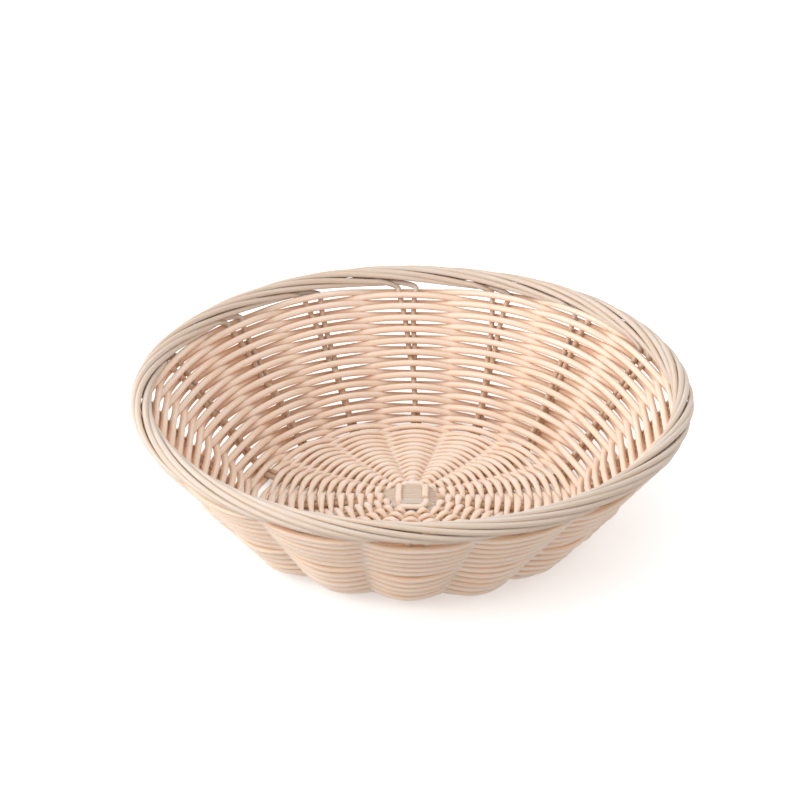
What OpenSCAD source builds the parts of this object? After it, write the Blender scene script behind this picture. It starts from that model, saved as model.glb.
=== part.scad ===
// Round bread basket, woven by hand from plastic rattan cord.
// Sixteen stake cords cross in the middle of the base, go out as sixteen pairs of spokes,
// turn up as the wall's stakes and end in the rolled border. Weavers chase each other round them.
// X and Y lie on the table, Z is up, and the origin is on the table under the middle of the base.

/* [Basket] */
// Outside diameter over the border
rim_d = 250; // [246:1:256]
// Height from the table to the top of the border
basket_h = 66.5; // [65.5:0.5:68]
// Radius at which the base turns up into the wall
foot_r = 75; // [74:1:76]
// Slope of the wall, from the table
wall_a = 51; // [50:0.5:52]
// How far the middle of the base is domed up
dome_h = 3.7; // [3.1:0.2:4.3]

/* [Cords] */
// Thickness of a stake cord
stake_d = 2.5; // [2.3:0.1:2.6]
// Thickness of the cord woven round the wall
weaver_d = 2.5; // [2.3:0.1:2.6]
// Thickness of the cord woven round the base, pulled flat
flat_d = 2.2; // [2:0.1:2.3]

/* [Weave] */
// Distance from row to row on the wall
wall_pitch = 2.73; // [2.7:0.01:2.75]
// Distance from row to row on the base
base_pitch = 2.26; // [2.25:0.01:2.4]
// Gap between the two stakes of a pair at the border, centre to centre
pair_top = 9; // [7:1:10]
// How far round the basket a stake leans on its way up the wall
lean_a = 3; // [0:0.5:4]
// Columns that a stake's end runs past in the border
tail_columns = 4; // [3:0.5:4]

/* [Colours] */
// Cord of the stakes and border
stake_colour = "#e6d3bd"; // color
// Cord woven round the wall
wall_colour = "#f0d9c0"; // color
// Cord woven round the base
base_colour = "#ecd2b6"; // color

/* [Hidden] */
columns = 16;
column_a = 360 / columns;
arm_cords = 8;
stake_names = [for (i = [1:columns]) str("stake_cord_", i < 10 ? "0" : "", i)];

stake_r = stake_d / 2;
cord_gap = 0.06;
stake_z = flat_d + cord_gap + stake_r;
cord_sides = 6;
foot_cut = 7;
dome_r = 64;

// Rope of the border: radius at which its strands lie, and where its middle runs
strand_ring = 3.45;
rope_r = rim_d / 2 - strand_ring - stake_r;
rope_z = basket_h - strand_ring - stake_r;
tail_start = 250;
tail_turn = 355;
strand_step = 22;
tail_first = 0.04;
tail_steps = 10;
tuck_from = 0.86;
tuck_ring = 0.9;

// Weave, measured outwards from the foot along the base and up the wall
base_first = 12.2 - foot_r;
base_turns = 13;
wall_first = -3.8;
wall_turns = 13.25;
wall_top = 68.5;
least_crown = 2.2;
most_crown = 8;

// Stakes of a pair: where they start to stack up and to part again, and over what distance
stack_u = 2;
stack_over = 10;
part_u = 29;
part_over = 8;
part_growth = 3;

// Crossing of the stakes in the middle
x_spread = 2.1;
y_spread = 1.3;
y_stagger = 1.0;
x_height = 5.9;
y_height = 2.4;
hub_r = 8;
spoke_r = 14;
bundle_curve = 1;
fall_from = 3;
fall_over = 10;

// Where a stake cord has its rings: radius in the middle of the base, then distance from the foot
hub_stops = [3.5, hub_r, 11, spoke_r];
stake_stops = [-43, -8, -2, 2, 8, 14, 26, 38, 50, 60, wall_top];

function mix(a, b, t) = a + (b - a) * t;
function ease(t) = let (c = min(1, max(0, t))) c * c * (3 - 2 * c);
function unit(v) = v / norm(v);
function polar(r, a, z) = [r * cos(a), r * sin(a), z];

// Middle surface of the weave: [radius, height] and slope at distance u from the foot
function dome(r) = r > dome_r ? 0 : dome_h * pow(1 - pow(r / dome_r, 2), 2);
function bend(u) = min(1, max(0, (u + foot_cut) / (2 * foot_cut)));
function slope(u) = let (t = bend(u)) atan2(t * sin(wall_a), 1 - t + t * cos(wall_a));
function profile(u) =
    u < -foot_cut ? [foot_r + u, stake_z + dome(foot_r + u)] :
    u > foot_cut ? [foot_r + u * cos(wall_a), stake_z + u * sin(wall_a)] :
    let (t = bend(u), rise = t * t * foot_cut)
    [foot_r - foot_cut + 2 * foot_cut * t * (1 - t) + t * t * foot_cut + rise * cos(wall_a),
     stake_z + rise * sin(wall_a)];

function lean(u) = lean_a * min(1, max(0, u / wall_top));

// Point at azimuth a, distance u along the weave and n inwards from its middle surface
function woven(a, u, n) =
    let (p = profile(u), s = slope(u))
    polar(p[0] - n * sin(s), a + lean(u), p[1] + n * cos(s));

// Width of a woven cord along the weave, and its thickness, as it goes from base to wall
function cord_w(u) = mix(base_pitch - cord_gap, weaver_d, bend(u));
function cord_t(u) = mix(flat_d, weaver_d, pow(bend(u), 2));

// How the two stakes of a pair lie: side by side on the base, one behind the other low on the
// wall, and side by side again, spreading apart, up to the border
function pair_turn(u) = 90 * (ease((u - stack_u) / stack_over) - ease((u - part_u) / part_over));
function pair_gap(u) =
    let (apart = max(0, u - part_u) / (wall_top - part_u))
    stake_d + cord_gap + (pair_top - stake_d) * pow(apart, part_growth);

// Half the angle over which a row lies flat on a pair of stakes
function crown(u) =
    let (half_w = stake_r + pair_gap(u) / 2 * cos(pair_turn(u)))
    min(most_crown, max(least_crown, asin(half_w / profile(u)[0])));

// Distance of a row from the middle surface where it passes a stake
function swing(u) = stake_r * (1 + sin(pair_turn(u))) + cord_gap + cord_t(u) / 2;

// ---- tubes ----

module skin(rings) {
    sides = len(rings[0]);
    last = (len(rings) - 1) * sides;
    walls = [
        for (i = [0:sides:last - sides], j = [0:sides - 1])
        let (k = (j + 1) % sides)
        each [[i + j, i + k, i + sides + k], [i + j, i + sides + k, i + sides + j]]
    ];
    start_cap = [for (j = [sides - 1:-1:0]) j];
    end_cap = [for (j = [0:sides - 1]) last + j];
    polyhedron([for (ring = rings) each ring], concat([start_cap], walls, [end_cap]), convexity = 10);
}

function heading(path, i) = unit(path[min(i + 1, len(path) - 1)] - path[max(i - 1, 0)]);
function carried(path, i, last) =
    i >= len(path) ? [] :
    let (t = heading(path, i), side = unit(last - (last * t) * t))
    concat([side], carried(path, i + 1, side));

module tube(path, r, sides) {
    across = carried(path, 0, [0, 0, 1]);
    skin([
        for (i = [0:len(path) - 1])
        let (other = cross(heading(path, i), across[i]))
        [for (j = [0:sides - 1])
            path[i] + r * (cos(360 * j / sides) * across[i] + sin(360 * j / sides) * other)]
    ]);
}

// ---- stake cords ----

// One half of a stake cord, from the middle of the base to the end of its tail in the border.
// arm is the way it leaves the middle, place its place in that arm's bundle, 0 to 7.
function along_x(arm) = arm % 180 == 0;
function hub_lateral(arm, place) =
    (place - (arm_cords - 1) / 2) * (along_x(arm) ? x_spread : y_spread);
function hub_height(arm, place) =
    along_x(arm) ? x_height : y_height - y_stagger * side_of(place) * (arm == 90 ? 1 : -1);
function column_of(arm, place) = arm + (floor(place / 2) - 1) * column_a;
function side_of(place) = 2 * (place % 2) - 1;

function hub_point(arm, place, r) =
    let (
        lateral = hub_lateral(arm, place),
        fall = ease((r - fall_from) / fall_over),
        z = mix(hub_height(arm, place) + dome_h, profile(r - foot_r)[1], fall),
        bundled = arm + asin(lateral / (hub_r + bundle_curve)),
        spread = column_of(arm, place) + side_of(place) * asin(stake_r / spoke_r)
    )
    r <= hub_r
        ? polar(r, arm, z) + polar(lateral, arm + 90, 0)
        : polar(r + bundle_curve, mix(bundled, spread, ease((r - hub_r) / (spoke_r - hub_r))), z);

function stake_point(arm, place, u) =
    let (
        s = side_of(place),
        gap = pair_gap(u) / 2,
        a = column_of(arm, place) + asin(s * gap * cos(pair_turn(u)) / profile(u)[0])
    )
    woven(a, u, s * gap * sin(pair_turn(u)));

// Place t along a tail, from 0 to 1. Its end is tucked into the middle of the rope.
function tail_point(arm, place, t) =
    let (
        s = side_of(place),
        ring = mix(strand_ring, tuck_ring, ease((t - tuck_from) / (1 - tuck_from))),
        around = tail_start - tail_turn * t - s * strand_step,
        start = asin(s * pair_top / 2 / rope_r) * (1 - ease(t * tail_columns)),
        a = column_of(arm, place) + lean_a + start + tail_columns * column_a * t
    )
    polar(rope_r + ring * cos(around), a, rope_z + ring * sin(around));

function half_cord(arm, place) = concat(
    [for (r = hub_stops) hub_point(arm, place, r)],
    [for (u = stake_stops) stake_point(arm, place, u)],
    [for (i = [0:tail_steps]) tail_point(arm, place, mix(tail_first, 1, i / tail_steps))]);

function backwards(path) = [for (i = [len(path) - 1:-1:0]) path[i]];

// Cords 0 to 7 run along X, and 8 to 15 along Y
module stake_cord(i) {
    arm = i < arm_cords ? 0 : 90;
    place = i % arm_cords;
    path = concat(backwards(half_cord(arm + 180, arm_cords - 1 - place)), half_cord(arm, place));
    color(stake_colour) tube(path, stake_r, cord_sides);
}

// ---- weavers ----

// Rows of one weaver: two rings beside each column, where it lies flat over or under the stakes.
// The second weaver is the first one turned half round, and lies on the other side of each stake.
module weaver(first, pitch, turns, second) {
    skin([
        for (step = [0:turns * columns - 1], edge = [-1, 1])
        let (
            u = first + 2 * pitch * step / columns,
            a = (step + second * columns / 2) * column_a + edge * crown(u),
            over = (step + second) % 2 == 0 ? 1 : -1,
            n = over * swing(u)
        )
        [for (c = [[-1, -1], [1, -1], [1, 1], [-1, 1]])
            woven(a, u + c[0] * cord_w(u) / 2, n + c[1] * cord_t(u) / 2)]
    ]);
}

module base_weaver(second) {
    color(base_colour) weaver(base_first, base_pitch, base_turns, second);
}

module wall_weaver(second) {
    color(wall_colour) weaver(wall_first, wall_pitch, wall_turns, second);
}

module base_weaver_a() { base_weaver(0); }
module base_weaver_b() { base_weaver(1); }
module wall_weaver_a() { wall_weaver(0); }
module wall_weaver_b() { wall_weaver(1); }

// ---- centre binding ----

// Two rounds about the crossing: over, under, over, under the four arms, then the other way round.
// Each lift is its height over the middle of the base stakes as it passes an arm. It changes
// height at the corners between the arms.
binding_lifts = [3.9, -3, 3.9, -3, -0.7, 2.6, -0.7, 2.6, 2.6];
binding_x = 6;
binding_y = 9.9;
binding_d = 2.2;
binding_growth = 0.012;
binding_steps = 46;
steps_per_arm = 6;
binding_corner = 0.15;
corner_over = 0.25;
binding_square = 4;

function binding_point(n) =
    let (
        i = floor(n),
        corner = 0.5 + (i % 2 == 0 ? binding_corner : -binding_corner),
        change = ease((n - i - corner) / corner_over + 0.5),
        lift = mix(binding_lifts[i], binding_lifts[i + 1], change),
        a = 90 * n,
        across = pow(abs(cos(a)) / binding_x, binding_square),
        along = pow(abs(sin(a)) / binding_y, binding_square),
        r = (1 + binding_growth * n) * pow(across + along, -1 / binding_square)
    )
    polar(r, a, stake_z + dome_h + lift);

module centre_binding() {
    path = [for (i = [0:binding_steps]) binding_point(i / steps_per_arm)];
    color(stake_colour) tube(path, binding_d / 2, cord_sides);
}

for (i = [0:columns - 1])
    stake_cord(i);
centre_binding();
base_weaver_a();
base_weaver_b();
wall_weaver_a();
wall_weaver_b();
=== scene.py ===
"""Round bread basket, woven by hand from plastic rattan cord: its look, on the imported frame.

Sixteen stake cords cross in the base, turn up as the stakes of the wall and roll over into the
border. Two pairs of weavers chase each other round them, one pair on the base and one on the wall.
"""

import math

import bpy
import numpy as np
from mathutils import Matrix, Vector


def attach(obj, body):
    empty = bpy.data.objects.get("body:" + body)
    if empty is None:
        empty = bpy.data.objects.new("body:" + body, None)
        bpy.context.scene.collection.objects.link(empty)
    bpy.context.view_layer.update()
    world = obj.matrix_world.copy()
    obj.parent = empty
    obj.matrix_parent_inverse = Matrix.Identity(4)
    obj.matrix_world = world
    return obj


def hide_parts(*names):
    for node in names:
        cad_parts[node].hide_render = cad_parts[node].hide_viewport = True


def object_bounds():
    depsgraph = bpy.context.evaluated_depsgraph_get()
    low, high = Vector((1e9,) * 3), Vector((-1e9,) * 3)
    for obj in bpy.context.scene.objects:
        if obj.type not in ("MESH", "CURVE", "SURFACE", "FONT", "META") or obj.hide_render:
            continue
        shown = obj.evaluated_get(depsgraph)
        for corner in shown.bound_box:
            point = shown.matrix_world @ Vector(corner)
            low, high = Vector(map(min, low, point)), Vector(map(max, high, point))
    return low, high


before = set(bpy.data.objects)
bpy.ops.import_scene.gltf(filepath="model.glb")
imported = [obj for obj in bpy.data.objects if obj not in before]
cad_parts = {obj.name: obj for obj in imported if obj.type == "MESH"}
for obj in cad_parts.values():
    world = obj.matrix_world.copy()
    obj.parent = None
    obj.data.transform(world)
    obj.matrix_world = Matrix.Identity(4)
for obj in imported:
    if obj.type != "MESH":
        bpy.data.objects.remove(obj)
CAD_LOW, CAD_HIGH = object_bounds()

bl_info = {
    "name": "Woven Bread Basket",
    "version": (1, 0, 0),
    "blender": (4, 5, 0),
    "location": "3D View > Sidebar > Basket",
    "description": "Weaves a round bread basket from plastic rattan cord",
    "category": "Add Mesh",
}

COLUMNS = 16
COLUMN_A = 2 * math.pi / COLUMNS
ARM_CORDS = 8

# Cords of the CAD part, which set the height of the weave's middle surface
FRAME_BASE_T = 0.0022
FRAME_STAKE_R = 0.00125
CORD_GAP = 0.00006

# Shape of the weave: distances are measured from the foot, along the base and up the wall
FOOT_BEND = 0.007
WALL_TOP = 0.0685
DOME_R = 0.064
BASE_INNER_R = 0.0122
BASE_TURNS = 13
WALL_FIRST = -0.0038
WALL_TURNS = 13.25
STEPS_PER_COLUMN = 22
FLAT_FROM = 0.03
FLAT_OVER = 0.03
FLAT_MOST = 0.35

# Where the two stakes of a pair stack up and part again, and over what distance
STACK_U = 0.002
STACK_OVER = 0.010
PART_U = 0.029
PART_OVER = 0.008

# Crossing of the stakes in the middle of the base
X_SPREAD = 0.0021
Y_SPREAD = 0.0013
X_HEIGHT = 0.0059
Y_HEIGHT = 0.0024
Y_STAGGER = 0.001
HUB_R = 0.008
SPOKE_R = 0.014
FALL_FROM = 0.003
FALL_OVER = 0.010
BUNDLE_CURVE = 0.001
HUB_STOPS = (0.0005, 0.0035, 0.006, HUB_R, 0.0095, 0.011, 0.0125, SPOKE_R)
WALL_STOPS = (
    -0.052, -0.040, -0.028, -0.016, -0.009, -0.006, -0.003, 0.0, 0.003, 0.007, 0.012,
    0.018, 0.025, 0.031, 0.037, 0.044, 0.051, 0.056, 0.060, 0.064, WALL_TOP,
)

# Border: angles in degrees round the rope, and places along a stake's end from 0 to 1
STRAND_RING = 0.00345
ROPE_OUT = 0.0002
TAIL_START = 250
TAIL_TURN = 355
TAIL_FIRST = 0.04
TAIL_STOPS = 24
STRAND_STEP = 22
TUCK_FROM = 0.86
TUCK_RING = 0.0009
RIM_TILT = 0.0022
RIM_OUT = 0.0004

# Binding of the crossing. A lift is its height as it passes an arm, over the middle surface there.
BINDING_LIFTS = (0.0039, -0.003, 0.0039, -0.003, -0.0007, 0.0026, -0.0007, 0.0026, 0.0026)
BINDING_X = 0.006
BINDING_Y = 0.0099
BINDING_W = 0.0029
BINDING_T = 0.0021
BINDING_FROM = -0.42
BINDING_TO = 7.66
BINDING_GROWTH = 0.012
BINDING_SQUARE = 4

# Key lamp
LAMP_PLACE = (-1.2, -0.45, 0.7)
LAMP_AIM = (0, 0, 0.03)
LAMP_SIZE = 1.2


# ---- settings ----


class BasketWeave(bpy.types.PropertyGroup):
    """Sizes of the basket's cords and of its weave."""

    foot_r: bpy.props.FloatProperty(
        name="Foot radius",
        description="Radius at which the base turns up into the wall",
        default=0.075,
        unit="LENGTH",
        subtype="DISTANCE",
    )
    wall_slope: bpy.props.FloatProperty(
        name="Wall slope",
        description="Slope of the wall, from the table",
        default=math.radians(51),
        subtype="ANGLE",
    )
    dome_h: bpy.props.FloatProperty(
        name="Dome",
        description="How far the middle of the base is domed up",
        default=0.0037,
        unit="LENGTH",
        subtype="DISTANCE",
    )
    stake_d: bpy.props.FloatProperty(
        name="Stake cord",
        description="Thickness of a stake cord",
        default=0.0026,
        unit="LENGTH",
        subtype="DISTANCE",
    )
    wall_cord_d: bpy.props.FloatProperty(
        name="Wall cord",
        description="Thickness of the cord woven round the wall",
        default=0.0031,
        unit="LENGTH",
        subtype="DISTANCE",
    )
    base_cord_t: bpy.props.FloatProperty(
        name="Base cord thickness",
        description="Thickness of the cord woven round the base, where it is pulled flat over a spoke",
        default=0.0021,
        unit="LENGTH",
        subtype="DISTANCE",
    )
    base_cord_w: bpy.props.FloatProperty(
        name="Base cord width",
        description="Width of the cord woven round the base, where it is pulled flat over a spoke",
        default=0.0034,
        unit="LENGTH",
        subtype="DISTANCE",
    )
    wall_pitch: bpy.props.FloatProperty(
        name="Wall pitch",
        description="Distance from row to row up the wall",
        default=0.00277,
        unit="LENGTH",
        subtype="DISTANCE",
    )
    base_pitch: bpy.props.FloatProperty(
        name="Base pitch",
        description="Distance from row to row across the base",
        default=0.00226,
        unit="LENGTH",
        subtype="DISTANCE",
    )
    pair_top: bpy.props.FloatProperty(
        name="Pair gap",
        description="Gap between the two stakes of a pair at the border, centre to centre",
        default=0.009,
        unit="LENGTH",
        subtype="DISTANCE",
    )
    lean: bpy.props.FloatProperty(
        name="Lean",
        description="How far round the basket a stake leans on its way up the wall",
        default=math.radians(3.0),
        subtype="ANGLE",
    )
    tail_columns: bpy.props.FloatProperty(
        name="Tail length",
        description="Columns that a stake's end runs past in the border",
        default=4.0,
    )
    unevenness: bpy.props.FloatProperty(
        name="Unevenness",
        description="How uneven the hand weaving is, with 0 for none",
        default=1.0,
        min=0.0,
        max=2.0,
    )


class BasketColours(bpy.types.PropertyGroup):
    """Colours of the basket's cords."""

    stake: bpy.props.FloatVectorProperty(
        name="Stakes and border",
        description="Colour of the stake cords and the border",
        default=(0.68, 0.60, 0.54),
        subtype="COLOR",
        size=3,
    )
    wall: bpy.props.FloatVectorProperty(
        name="Wall",
        description="Colour of the cord woven round the wall",
        default=(0.90, 0.765, 0.675),
        subtype="COLOR",
        size=3,
    )
    base: bpy.props.FloatVectorProperty(
        name="Base",
        description="Colour of the cord woven round the base",
        default=(0.90, 0.785, 0.71),
        subtype="COLOR",
        size=3,
    )


class BasketStage(bpy.types.PropertyGroup):
    """Floor, lights and camera round the basket."""

    floor_size: bpy.props.FloatProperty(
        name="Floor",
        description="Width of the floor",
        default=6.0,
        unit="LENGTH",
        subtype="DISTANCE",
    )
    floor_colour: bpy.props.FloatVectorProperty(
        name="Floor colour",
        description="Colour of the floor",
        default=(0.96, 0.96, 0.96),
        subtype="COLOR",
        size=3,
    )
    sky: bpy.props.FloatProperty(
        name="Sky light",
        description="Strength of the even light from all round",
        default=1.0,
    )
    bounce: bpy.props.FloatProperty(
        name="Bounce",
        description="Part of the sky light that comes back up from below",
        default=0.45,
    )
    glow: bpy.props.FloatProperty(
        name="Glow",
        description="Light that the floor gives out itself, like a light table",
        default=0.32,
    )
    key: bpy.props.FloatProperty(
        name="Key light",
        description="Power of the large lamp above and to the left",
        default=15.0,
        unit="POWER",
    )
    distance: bpy.props.FloatProperty(
        name="Camera distance",
        description="Distance from the camera to the point it looks at",
        default=1.2,
        unit="LENGTH",
        subtype="DISTANCE",
    )
    elevation: bpy.props.FloatProperty(
        name="Camera elevation",
        description="Angle of the camera above the table",
        default=math.radians(28.0),
        subtype="ANGLE",
    )
    turn: bpy.props.FloatProperty(
        name="Camera turn",
        description="Angle of the camera round the basket, from its front",
        default=math.radians(1.6),
        subtype="ANGLE",
    )
    lens: bpy.props.FloatProperty(
        name="Lens",
        description="Focal length of the camera, in millimetres on a 36 mm sensor",
        default=120.5,
    )
    aim_side: bpy.props.FloatProperty(
        name="Aim to the side",
        description="How far right of the basket's middle the camera looks",
        default=-0.0055,
        unit="LENGTH",
        subtype="DISTANCE",
    )
    aim_height: bpy.props.FloatProperty(
        name="Aim height",
        description="Height of the point that the camera looks at",
        default=0.0589,
        unit="LENGTH",
        subtype="DISTANCE",
    )


# ---- numbers that follow a rule ----


def ease(t):
    """Smooth step from 0 to 1."""
    c = np.clip(t, 0.0, 1.0)
    return c * c * (3 - 2 * c)


def mix(a, b, t):
    return a + (b - a) * t


def unit(v):
    return v / np.linalg.norm(v, axis=-1, keepdims=True)


def polar(r, a, z):
    return np.stack(np.broadcast_arrays(r * np.cos(a), r * np.sin(a), z), axis=-1)


def ripple(seed, cycles, size):
    """A smooth random function of one variable, periodic over 2 pi, about size high."""
    rng = np.random.default_rng(seed)
    phases = rng.uniform(0, 2 * math.pi, len(cycles))
    sizes = rng.uniform(0.5, 1.0, len(cycles)) * size / math.sqrt(len(cycles))
    return lambda x: sum(s * np.sin(c * x + p) for s, c, p in zip(sizes, cycles, phases))


class Form:
    """The basket's woven surface: where a cord lies, from its azimuth and its distance out."""

    def __init__(self, weave):
        self.foot_r = weave.foot_r
        self.slope = weave.wall_slope
        self.dome_h = weave.dome_h
        self.stake_r = weave.stake_d / 2
        self.wall_d = weave.wall_cord_d
        self.base_t = weave.base_cord_t
        self.base_w = weave.base_cord_w
        self.wall_pitch = weave.wall_pitch
        self.base_pitch = weave.base_pitch
        self.pair_top = weave.pair_top
        self.lean = weave.lean
        self.tail_columns = weave.tail_columns
        self.uneven = weave.unevenness
        self.stake_z = FRAME_BASE_T + CORD_GAP + FRAME_STAKE_R
        reach = STRAND_RING + self.stake_r
        self.rope_r = (CAD_HIGH.x - CAD_LOW.x) / 2 + ROPE_OUT - reach
        self.rope_z = CAD_HIGH.z - reach
        rng = np.random.default_rng(7)
        self.column_shift = np.radians(rng.uniform(-0.55, 0.55, COLUMNS)) * self.uneven
        self.rim_rise = ripple(11, (2, 3, 5), 0.0006 * self.uneven)
        self.rim_reach = ripple(12, (2, 3, 4), 0.0005 * self.uneven)

    def shifted(self, a):
        """Azimuth a moved with the uneven columns on either side of it."""
        c = np.asarray(a) / COLUMN_A
        low = np.floor(c).astype(int)
        return a + mix(
            self.column_shift[low % COLUMNS],
            self.column_shift[(low + 1) % COLUMNS],
            ease(c - low),
        )

    def profile(self, u):
        """Radius and height of the middle surface at distance u out from the foot."""
        u = np.asarray(u, float)
        t = np.clip((u + FOOT_BEND) / (2 * FOOT_BEND), 0, 1)
        rise = t * t * FOOT_BEND
        r_bend = self.foot_r - FOOT_BEND + 2 * FOOT_BEND * t * (1 - t) + rise
        r_bend = r_bend + rise * math.cos(self.slope)
        z_bend = self.stake_z + rise * math.sin(self.slope)
        r_flat = self.foot_r + u
        dome = self.dome_h * np.clip(1 - (r_flat / DOME_R) ** 2, 0, 1) ** 2
        r = np.where(
            u < -FOOT_BEND,
            r_flat,
            np.where(u > FOOT_BEND, self.foot_r + u * math.cos(self.slope), r_bend),
        )
        z = np.where(
            u < -FOOT_BEND,
            self.stake_z + dome,
            np.where(u > FOOT_BEND, self.stake_z + u * math.sin(self.slope), z_bend),
        )
        return r, z

    def tilt(self, u):
        """Slope of the middle surface at distance u."""
        t = np.clip((np.asarray(u, float) + FOOT_BEND) / (2 * FOOT_BEND), 0, 1)
        return np.arctan2(t * math.sin(self.slope), 1 - t + t * math.cos(self.slope))

    def woven(self, a, u, n):
        """Point at azimuth a and distance u, n inwards from the middle surface."""
        r, z = self.profile(u)
        s = self.tilt(u)
        return polar(r - n * np.sin(s), a + self.leaned(u), z + n * np.cos(s))

    def leaned(self, u):
        """How far round a stake has leaned at distance u."""
        return self.lean * np.clip(np.asarray(u, float) / WALL_TOP, 0, 1)

    def inward(self, a, u):
        """Direction from the middle surface to the inside of the bowl."""
        s = self.tilt(u)
        a = a + self.leaned(u)
        return np.stack(
            np.broadcast_arrays(-np.sin(s) * np.cos(a), -np.sin(s) * np.sin(a), np.cos(s)),
            axis=-1,
        )

    def pair_turn(self, u):
        """0 where two stakes lie side by side, a quarter turn where one lies behind the other."""
        return math.pi / 2 * (ease((u - STACK_U) / STACK_OVER) - ease((u - PART_U) / PART_OVER))

    def pair_gap(self, u):
        """Distance between the middles of the two stakes of a pair."""
        close = 2 * self.stake_r + CORD_GAP
        apart = np.clip((np.asarray(u, float) - PART_U) / (WALL_TOP - PART_U), 0, 1)
        return close + (self.pair_top - close) * apart**3

    def swing(self, u):
        """How far a row lies from the middle surface where it passes a stake."""
        t = np.clip((np.asarray(u, float) + FOOT_BEND) / (2 * FOOT_BEND), 0, 1)
        cord = mix(self.base_t, self.wall_d, t)
        return self.stake_r * (1 + np.sin(self.pair_turn(u))) + cord / 2

    def handmade(self, points):
        """Points moved by the unevenness of the whole basket, which grows up the wall."""
        a = np.arctan2(points[:, 1], points[:, 0])
        k = np.clip(points[:, 2] / self.rope_z, 0, 1)[:, None] ** 2
        rise = self.rim_rise(a) + RIM_TILT * (1 + np.sin(a)) / 2
        return points + polar(self.rim_reach(a) + RIM_OUT, a, rise) * k


# ---- cord meshes ----


def carried_sides(path, first):
    """A side vector at each point of path, carried along it without twisting."""
    along = unit(np.gradient(path, axis=0))
    sides = np.empty_like(path)
    last = np.asarray(first, float)
    for i, t in enumerate(along):
        last = last - last.dot(t) * t
        last = last / np.linalg.norm(last)
        sides[i] = last
    return sides


def smooth_path(points, step):
    """A smooth curve through points, with a point about every step along it."""
    p = np.vstack([2 * points[0] - points[1], points, 2 * points[-1] - points[-2]])
    t = np.linspace(0, 1, 24, endpoint=False)[:, None]
    runs = []
    for i in range(1, len(p) - 2):
        a, b, c, d = p[i - 1], p[i], p[i + 1], p[i + 2]
        square = (2 * a - 5 * b + 4 * c - d) * t**2
        cube = (3 * b - a - 3 * c + d) * t**3
        runs.append(0.5 * (2 * b + (c - a) * t + square + cube))
    dense = np.vstack([*runs, points[-1:]])
    far = np.concatenate([[0], np.cumsum(np.linalg.norm(np.diff(dense, axis=0), axis=1))])
    even = np.linspace(0, far[-1], max(2, int(far[-1] / step)))
    return np.stack([np.interp(even, far, dense[:, k]) for k in range(3)], axis=1)


def cord_mesh(name, path, ups, wide, thick, seed, sides=14, corner=2.0, level=0.0, painted_cover_shade=0.0):
    """A mesh swept along path, wide across and thick along ups, with both ends closed.

    Each vertex keeps its place on the cord, length along it and offset across it, for the grain,
    and a painted shade value for how deep it lies in the weave. level is 1 where the cord is on the
    inside of the weave and -1 where it is on the outside, and covered is how far other cords hide it
    all round; both only set the painted shade.
    """
    count = len(path)
    along = unit(np.gradient(path, axis=0))
    ups = unit(ups - np.sum(ups * along, axis=1, keepdims=True) * along)
    across = np.cross(along, ups)
    q = np.linspace(0, 2 * math.pi, sides, endpoint=False)
    cx = np.sign(np.cos(q)) * np.abs(np.cos(q)) ** (2 / corner)
    cy = np.sign(np.sin(q)) * np.abs(np.sin(q)) ** (2 / corner)
    wide = np.broadcast_to(wide, (count,))[:, None]
    thick = np.broadcast_to(thick, (count,))[:, None]
    x = cx[None, :] * wide / 2
    y = cy[None, :] * thick / 2
    points = path[:, None, :] + x[..., None] * across[:, None, :] + y[..., None] * ups[:, None, :]
    far = np.concatenate([[0], np.cumsum(np.linalg.norm(np.diff(path, axis=0), axis=1))])
    place = np.stack([np.broadcast_to(far[:, None], x.shape) + seed, x, y], axis=-1)

    level = np.broadcast_to(level, (count,))[:, None]
    painted_cover_shade = np.broadcast_to(painted_cover_shade, (count,))[:, None]
    # Painted shade: darker on the face of a cord that turns towards the stakes it passes, on its
    # flanks where the rows touch, and where other cords cover it.
    painted_back_shade = np.abs(level) ** 0.5 * (0.5 - 0.5 * level * cy[None, :])
    painted_nook_shade = np.clip(painted_cover_shade + 0.75 * painted_back_shade + 0.45 * np.abs(cx[None, :]) ** 5, 0, 1)

    ring = np.arange(sides)
    turn = (ring + 1) % sides
    base = (np.arange(count - 1) * sides)[:, None]
    quads = np.stack([base + ring, base + turn, base + sides + turn, base + sides + ring], axis=-1)
    mesh = bpy.data.meshes.new(name)
    last = (count - 1) * sides
    faces = quads.reshape(-1, 4).tolist()
    faces.append(list(range(sides - 1, -1, -1)))
    faces.append([last + j for j in range(sides)])
    mesh.from_pydata(points.reshape(-1, 3).tolist(), [], faces)
    mesh.polygons.foreach_set("use_smooth", [True] * (len(faces) - 2) + [False, False])
    mesh.attributes.new("cord_place", "FLOAT_VECTOR", "POINT")
    mesh.attributes["cord_place"].data.foreach_set("vector", place.astype(np.float32).ravel())
    mesh.attributes.new("painted_nook_shade", "FLOAT", "POINT")
    mesh.attributes["painted_nook_shade"].data.foreach_set("value", painted_nook_shade.astype(np.float32).ravel())
    mesh.update()
    return mesh


def add_piece(name, mesh, material, node):
    """Puts a mesh in the scene as a piece that stands for a CAD node."""
    piece = bpy.data.objects.new(name, mesh)
    mesh.materials.append(material)
    bpy.context.scene.collection.objects.link(piece)
    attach(piece, "root")
    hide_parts(node)
    return piece


# ---- material ----


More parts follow.
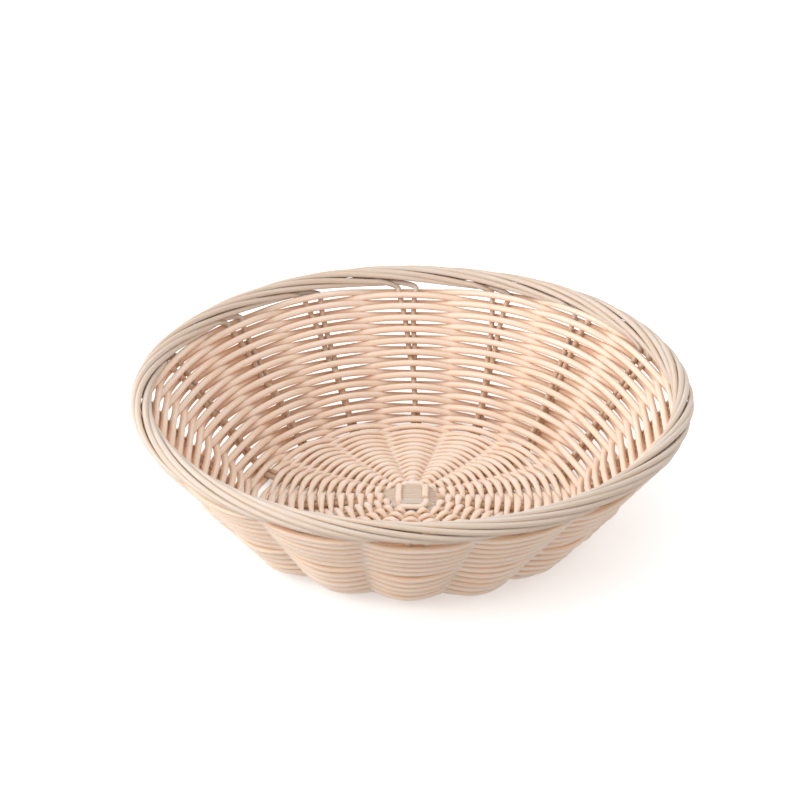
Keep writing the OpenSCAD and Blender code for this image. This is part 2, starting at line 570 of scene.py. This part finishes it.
def cord_material(name, colour):
    """Satin plastic rattan: fine lengthwise grain, slow changes of tone, a little translucent, with
    painted shade where the cord lies deep in the weave.

    The name ends in _look, because the frame already has materials with the slots' own names.
    """
    look = name + "_look"
    old = bpy.data.materials.get(look)
    if old:
        return old
    material = bpy.data.materials.new(look)
    material.use_nodes = True
    nodes, links = material.node_tree.nodes, material.node_tree.links
    bsdf = nodes["Principled BSDF"]

    place = nodes.new("ShaderNodeAttribute")
    place.attribute_name = "cord_place"

    def noise(scale, detail, rough):
        stretch = nodes.new("ShaderNodeVectorMath")
        stretch.operation = "MULTIPLY"
        stretch.inputs[1].default_value = scale
        links.new(place.outputs["Vector"], stretch.inputs[0])
        texture = nodes.new("ShaderNodeTexNoise")
        texture.inputs["Scale"].default_value = 1.0
        texture.inputs["Detail"].default_value = detail
        texture.inputs["Roughness"].default_value = rough
        links.new(stretch.outputs[0], texture.inputs["Vector"])
        return texture.outputs["Fac"]

    grain = noise((55, 4200, 4200), 3.0, 0.6)
    tone = noise((14, 120, 120), 2.0, 0.5)

    def shade(factor, low, high, start, end):
        ramp = nodes.new("ShaderNodeMapRange")
        ramp.inputs["From Min"].default_value = start
        ramp.inputs["From Max"].default_value = end
        ramp.inputs["To Min"].default_value = low
        ramp.inputs["To Max"].default_value = high
        links.new(factor, ramp.inputs["Value"])
        return ramp.outputs["Result"]

    streaks = nodes.new("ShaderNodeMix")
    streaks.data_type = "RGBA"
    streaks.inputs["A"].default_value = (colour[0] * 0.90, colour[1] * 0.84, colour[2] * 0.76, 1)
    streaks.inputs["B"].default_value = (colour[0], colour[1], colour[2], 1)
    links.new(shade(grain, 0.0, 1.0, 0.36, 0.60), streaks.inputs["Factor"])
    tones = nodes.new("ShaderNodeMix")
    tones.data_type = "RGBA"
    tones.blend_type = "MULTIPLY"
    tones.inputs["B"].default_value = (0.97, 0.93, 0.87, 1)
    links.new(shade(tone, 0.0, 1.0, 0.35, 0.70), tones.inputs["Factor"])
    links.new(streaks.outputs["Result"], tones.inputs["A"])
    # Painted shade: the colour is multiplied towards an orange-brown tint by the painted shade value,
    # standing in for shade in the crevices of the weave.
    painted_shade_attr = nodes.new("ShaderNodeAttribute")
    painted_shade_attr.attribute_name = "painted_nook_shade"
    painted_shade = nodes.new("ShaderNodeMix")
    painted_shade.data_type = "RGBA"
    painted_shade.blend_type = "MULTIPLY"
    painted_shade.inputs["B"].default_value = (0.98, 0.78, 0.60, 1)
    links.new(painted_shade_attr.outputs["Fac"], painted_shade.inputs["Factor"])
    links.new(tones.outputs["Result"], painted_shade.inputs["A"])
    links.new(painted_shade.outputs["Result"], bsdf.inputs["Base Color"])

    links.new(shade(grain, 0.50, 0.38, 0.3, 0.7), bsdf.inputs["Roughness"])
    bump = nodes.new("ShaderNodeBump")
    bump.inputs["Strength"].default_value = 0.5
    bump.inputs["Distance"].default_value = 0.00008
    links.new(grain, bump.inputs["Height"])
    links.new(bump.outputs["Normal"], bsdf.inputs["Normal"])
    bsdf.inputs["IOR"].default_value = 1.5
    bsdf.inputs["Subsurface Weight"].default_value = 0.25
    bsdf.inputs["Subsurface Radius"].default_value = (1.0, 0.55, 0.25)
    bsdf.inputs["Subsurface Scale"].default_value = 0.0012
    return material


# ---- routes of the cords ----


def column_of(arm, place):
    """Azimuth of the column that a stake end goes to. arm counts quarter turns, place is 0 to 7."""
    return arm * math.pi / 2 + (place // 2 - 1) * COLUMN_A


def side_of(place):
    return 2 * (place % 2) - 1


def hub_points(form, arm, place):
    """A stake cord from the middle of the base to where it has joined its pair."""
    along_x = arm % 2 == 0
    lateral = (place - (ARM_CORDS - 1) / 2) * (X_SPREAD if along_x else Y_SPREAD)
    stagger = side_of(place) * (-Y_STAGGER if arm == 1 else Y_STAGGER)
    height = X_HEIGHT if along_x else Y_HEIGHT + stagger
    arm_a = arm * math.pi / 2
    points = []
    for r in HUB_STOPS:
        flat = float(form.profile(r - form.foot_r)[1])
        z = mix(height + form.dome_h, flat, float(ease((r - FALL_FROM) / FALL_OVER)))
        if r <= HUB_R:
            points.append(polar(r, arm_a, z) + polar(lateral, arm_a + math.pi / 2, 0))
            continue
        bundled = arm_a + math.asin(lateral / (HUB_R + BUNDLE_CURVE))
        column = float(form.shifted(column_of(arm, place)))
        spread = column + side_of(place) * math.asin(form.stake_r / SPOKE_R)
        t = float(ease((r - HUB_R) / (SPOKE_R - HUB_R)))
        points.append(polar(r + BUNDLE_CURVE, mix(bundled, spread, t), z))
    return points


def wall_points(form, arm, place):
    """A stake from the base out to the foot and up the wall."""
    s = side_of(place)
    column = float(form.shifted(column_of(arm, place)))
    points = []
    for u in WALL_STOPS:
        gap = float(form.pair_gap(u)) / 2
        turn = float(form.pair_turn(u))
        r = float(form.profile(u)[0])
        a = column + math.asin(s * gap * math.cos(turn) / r)
        points.append(form.woven(a, u, s * gap * math.sin(turn)))
    return points


def tail_points(form, arm, place, rng):
    """A stake's end, from the top of the wall round the rope of the border."""
    s = side_of(place)
    column = float(form.shifted(column_of(arm, place)))
    start = math.asin(s * form.pair_top / 2 / form.rope_r)
    swing = math.radians(rng.uniform(-7, 7)) * form.uneven
    loose = rng.uniform(-0.00010, 0.00015) * form.uneven
    points = []
    for t in np.linspace(TAIL_FIRST, 1.0, TAIL_STOPS):
        turned = math.radians(TAIL_START - TAIL_TURN * t - s * STRAND_STEP)
        around = turned + swing * float(ease(t * 3))
        ring = STRAND_RING + loose * float(ease(t * 4))
        ring = mix(ring, TUCK_RING, float(ease((t - TUCK_FROM) / (1 - TUCK_FROM))))
        beside = start * (1 - float(ease(t * form.tail_columns)))
        a = column + form.lean + beside + form.tail_columns * COLUMN_A * t
        points.append(
            polar(form.rope_r + ring * math.cos(around), a, form.rope_z + ring * math.sin(around))
        )
    return points


def half_route(form, arm, place, rng):
    return np.array(
        hub_points(form, arm, place)
        + wall_points(form, arm, place)
        + tail_points(form, arm, place, rng)
    )


def weave_route(form, first, pitch, turns, second, seed):
    """Azimuth, distance, offset and crown of one weaver, which passes over every other column."""
    steps = int(turns * COLUMNS * STEPS_PER_COLUMN)
    c = np.linspace(0, turns * COLUMNS - 1, steps)
    u = first + 2 * pitch * c / COLUMNS
    around = (c + second * COLUMNS / 2) * COLUMN_A
    crown = np.cos(math.pi * (c + second))
    rng = np.random.default_rng(seed)
    pull = 1 + rng.uniform(-0.06, 0.08, int(turns * COLUMNS) + 2) * form.uneven
    low = np.floor(c).astype(int)
    pulled = mix(pull[low], pull[low + 1], ease(c - low))
    flat = ease((u - FLAT_FROM) / FLAT_OVER) * FLAT_MOST
    shape = crown * (1 + flat * (1 - crown * crown))
    sway = rng.uniform(-1, 1, int(turns * COLUMNS) + 2) * 0.00016 * form.uneven
    u = u + mix(sway[low], sway[low + 1], ease(c - low))
    n = form.swing(u) * shape * pulled
    return form.shifted(around), u, n, np.abs(crown)


def binding_route(form):
    """Two rounds about the crossing: over, under, over, under its arms, then the other way.

    n counts the arms passed, and the cord starts a little before the first one.
    """
    lifts = np.array(BINDING_LIFTS)
    n = np.linspace(BINDING_FROM, BINDING_TO, 440)
    i = np.clip(np.floor(n), 0, None).astype(int)
    corner = np.where(i % 2 == 0, 0.65, 0.35)
    lift = mix(lifts[i], lifts[i + 1], ease((n - i - corner) / 0.25 + 0.5))
    a = n * math.pi / 2
    across = (np.abs(np.cos(a)) / BINDING_X) ** BINDING_SQUARE
    along = (np.abs(np.sin(a)) / BINDING_Y) ** BINDING_SQUARE
    r = (1 + BINDING_GROWTH * n) / (across + along) ** (1 / BINDING_SQUARE)
    return polar(r, a, form.stake_z + form.dome_h + lift)


# ---- operators ----


class BASKET_OT_stake_cords(bpy.types.Operator):
    """Lay the sixteen stake cords, whose ends form the border."""

    bl_idname = "basket.stake_cords"
    bl_label = "Stake Cords"

    def execute(self, context):
        form = Form(context.scene.basket_weave)
        material = cord_material("stake_cord", context.scene.basket_colours.stake)
        for i in range(2 * ARM_CORDS):
            rng = np.random.default_rng(100 + i)
            arm, place = i // ARM_CORDS, i % ARM_CORDS
            far_half = half_route(form, arm + 2, ARM_CORDS - 1 - place, rng)
            near_half = half_route(form, arm, place, rng)
            path = smooth_path(np.vstack([far_half[:0:-1], near_half[1:]]), 0.0011)
            path = form.handmade(path)
            ups = carried_sides(path, (0, 0, 1))
            d = 2 * form.stake_r * (1 + 0.02 * np.sin(np.arange(len(path)) * 0.05 + i))
            # Painted shade on the stakes: darker along the base and wall, where the weavers cover
            # them, and not in the border or at the crossing.
            z = path[:, 2] / form.rope_z
            r = np.hypot(path[:, 0], path[:, 1])
            painted_cover_shade = 0.55 * ease((0.93 - z) / 0.04) * ease((r - 0.012) / 0.004)
            mesh = cord_mesh(f"stake_cord_{i + 1:02d}_mesh", path, ups, d, d, i * 3.7, painted_cover_shade=painted_cover_shade)
            add_piece(
                f"woven_stake_cord_{i + 1:02d}", mesh, material, f"stake_cord_{i + 1:02d}"
            )
        return {"FINISHED"}


class BASKET_OT_centre_binding(bpy.types.Operator):
    """Bind the crossing of the stake cords in the middle of the base."""

    bl_idname = "basket.centre_binding"
    bl_label = "Centre Binding"

    def execute(self, context):
        form = Form(context.scene.basket_weave)
        material = cord_material("base_cord", context.scene.basket_colours.base)
        path = smooth_path(binding_route(form)[::6], 0.0006)
        ups = np.tile((0.0, 0.0, 1.0), (len(path), 1))
        mesh = cord_mesh(
            "centre_binding_mesh", path, ups, BINDING_W, BINDING_T, 61.0, corner=2.3
        )
        add_piece("woven_centre_binding", mesh, material, "centre_binding")
        return {"FINISHED"}


def weave(form, node, material, slot, first, pitch, turns, second, seed):
    """Makes one weaver on the base or the wall as a piece."""
    a, u, n, crown = weave_route(form, first, pitch, turns, second, seed)
    path = form.handmade(form.woven(a, u, n))
    t = np.clip((u + FOOT_BEND) / (2 * FOOT_BEND), 0, 1)
    flat = crown**2
    wide = mix(mix(form.base_pitch, form.base_w, flat), form.wall_d, t)
    thick = mix(mix(form.base_pitch, form.base_t, flat), form.wall_d, t)
    level = n / form.swing(u)
    mesh = cord_mesh(
        f"{node}_mesh", path, form.inward(a, u), wide, thick, seed * 5.3, corner=2.2, level=level
    )
    return add_piece(f"woven_{node}", mesh, material, node)


class BASKET_OT_base_weavers(bpy.types.Operator):
    """Weave the base with two cords that chase each other."""

    bl_idname = "basket.base_weavers"
    bl_label = "Base Weavers"

    def execute(self, context):
        form = Form(context.scene.basket_weave)
        material = cord_material("base_cord", context.scene.basket_colours.base)
        first = BASE_INNER_R - form.foot_r
        for second, letter in enumerate("ab"):
            node = f"base_weaver_{letter}"
            route = (first, form.base_pitch, BASE_TURNS, second, 21 + second)
            weave(form, node, material, "base_cord", *route)
        return {"FINISHED"}


class BASKET_OT_wall_weavers(bpy.types.Operator):
    """Weave the wall with two cords that chase each other."""

    bl_idname = "basket.wall_weavers"
    bl_label = "Wall Weavers"

    def execute(self, context):
        form = Form(context.scene.basket_weave)
        material = cord_material("wall_cord", context.scene.basket_colours.wall)
        for second, letter in enumerate("ab"):
            node = f"wall_weaver_{letter}"
            route = (WALL_FIRST, form.wall_pitch, WALL_TURNS, second, 31 + second)
            weave(form, node, material, "wall_cord", *route)
        return {"FINISHED"}


class BASKET_OT_stage(bpy.types.Operator):
    """Set the floor, the lights and the camera."""

    bl_idname = "basket.stage"
    bl_label = "Stage"

    def execute(self, context):
        stage = context.scene.basket_stage
        self.lay_floor(stage)
        self.hang_lights(context, stage)
        self.place_camera(context, stage)
        return {"FINISHED"}

    def lay_floor(self, stage):
        half = stage.floor_size / 2
        z = CAD_LOW.z
        mesh = bpy.data.meshes.new("floor_mesh")
        corners = [(-half, -half, z), (half, -half, z), (half, half, z), (-half, half, z)]
        mesh.from_pydata(corners, [], [(0, 1, 2, 3)])
        floor = bpy.data.objects.new("floor", mesh)
        bpy.context.scene.collection.objects.link(floor)
        material = bpy.data.materials.new("pale_floor")
        material.use_nodes = True
        bsdf = material.node_tree.nodes["Principled BSDF"]
        bsdf.inputs["Base Color"].default_value = (*stage.floor_colour, 1)
        bsdf.inputs["Roughness"].default_value = 0.9
        bsdf.inputs["Specular IOR Level"].default_value = 0.1
        bsdf.inputs["Emission Color"].default_value = (1, 1, 1, 1)
        bsdf.inputs["Emission Strength"].default_value = stage.glow
        mesh.materials.append(material)
        floor.visible_diffuse = False

    def hang_lights(self, context, stage):
        world = bpy.data.worlds.new("studio_sky")
        world.use_nodes = True
        background = world.node_tree.nodes["Background"]
        background.inputs["Color"].default_value = (1, 1, 1, 1)
        nodes, links = world.node_tree.nodes, world.node_tree.links
        place = nodes.new("ShaderNodeTexCoord")
        split = nodes.new("ShaderNodeSeparateXYZ")
        fade = nodes.new("ShaderNodeMapRange")
        fade.inputs["From Min"].default_value = -0.35
        fade.inputs["From Max"].default_value = 0.05
        fade.inputs["To Min"].default_value = stage.sky * stage.bounce
        fade.inputs["To Max"].default_value = stage.sky
        links.new(place.outputs["Generated"], split.inputs[0])
        links.new(split.outputs["Z"], fade.inputs["Value"])
        links.new(fade.outputs["Result"], background.inputs["Strength"])
        context.scene.world = world
        light = bpy.data.lights.new("key_lamp", "AREA")
        light.size = LAMP_SIZE
        light.energy = stage.key
        lamp = bpy.data.objects.new("key_lamp", light)
        lamp.location = LAMP_PLACE
        lamp.rotation_euler = (Vector(LAMP_AIM) - lamp.location).to_track_quat("-Z", "Y").to_euler()
        context.scene.collection.objects.link(lamp)

    def place_camera(self, context, stage):
        data = bpy.data.cameras.new("camera")
        data.lens = stage.lens
        data.sensor_width = 36
        camera = bpy.data.objects.new("camera", data)
        context.scene.collection.objects.link(camera)
        right = Vector((math.cos(stage.turn), math.sin(stage.turn), 0))
        back = Vector((math.sin(stage.turn), -math.cos(stage.turn), 0))
        aim = right * stage.aim_side + Vector((0, 0, stage.aim_height))
        away = back * math.cos(stage.elevation) + Vector((0, 0, math.sin(stage.elevation)))
        camera.location = aim + away * stage.distance
        camera.rotation_euler = (-away).to_track_quat("-Z", "Y").to_euler()
        context.scene.camera = camera
        context.scene.view_settings.view_transform = "Standard"


class BASKET_PT_panel(bpy.types.Panel):
    """Sidebar panel with the basket's sizes, colours and steps."""

    bl_idname = "BASKET_PT_panel"
    bl_label = "Woven Bread Basket"
    bl_space_type = "VIEW_3D"
    bl_region_type = "UI"
    bl_category = "Basket"

    def draw(self, context):
        scene = context.scene
        for settings in (scene.basket_weave, scene.basket_colours, scene.basket_stage):
            box = self.layout.box()
            for name in settings.__annotations__:
                box.prop(settings, name)
        for step in STEPS:
            self.layout.operator(step.bl_idname)


STEPS = (
    BASKET_OT_stage,
    BASKET_OT_stake_cords,
    BASKET_OT_centre_binding,
    BASKET_OT_base_weavers,
    BASKET_OT_wall_weavers,
)
SETTINGS = (BasketWeave, BasketColours, BasketStage)


def register():
    for cls in (*SETTINGS, *STEPS, BASKET_PT_panel):
        bpy.utils.register_class(cls)
    bpy.types.Scene.basket_weave = bpy.props.PointerProperty(type=BasketWeave)
    bpy.types.Scene.basket_colours = bpy.props.PointerProperty(type=BasketColours)
    bpy.types.Scene.basket_stage = bpy.props.PointerProperty(type=BasketStage)


def unregister():
    del bpy.types.Scene.basket_stage
    del bpy.types.Scene.basket_colours
    del bpy.types.Scene.basket_weave
    for cls in (BASKET_PT_panel, *reversed(STEPS), *reversed(SETTINGS)):
        bpy.utils.unregister_class(cls)


def main():
    register()
    bpy.ops.basket.stage()
    bpy.ops.basket.stake_cords()
    bpy.ops.basket.centre_binding()
    bpy.ops.basket.base_weavers()
    bpy.ops.basket.wall_weavers()


if __name__ == "__main__":
    main()
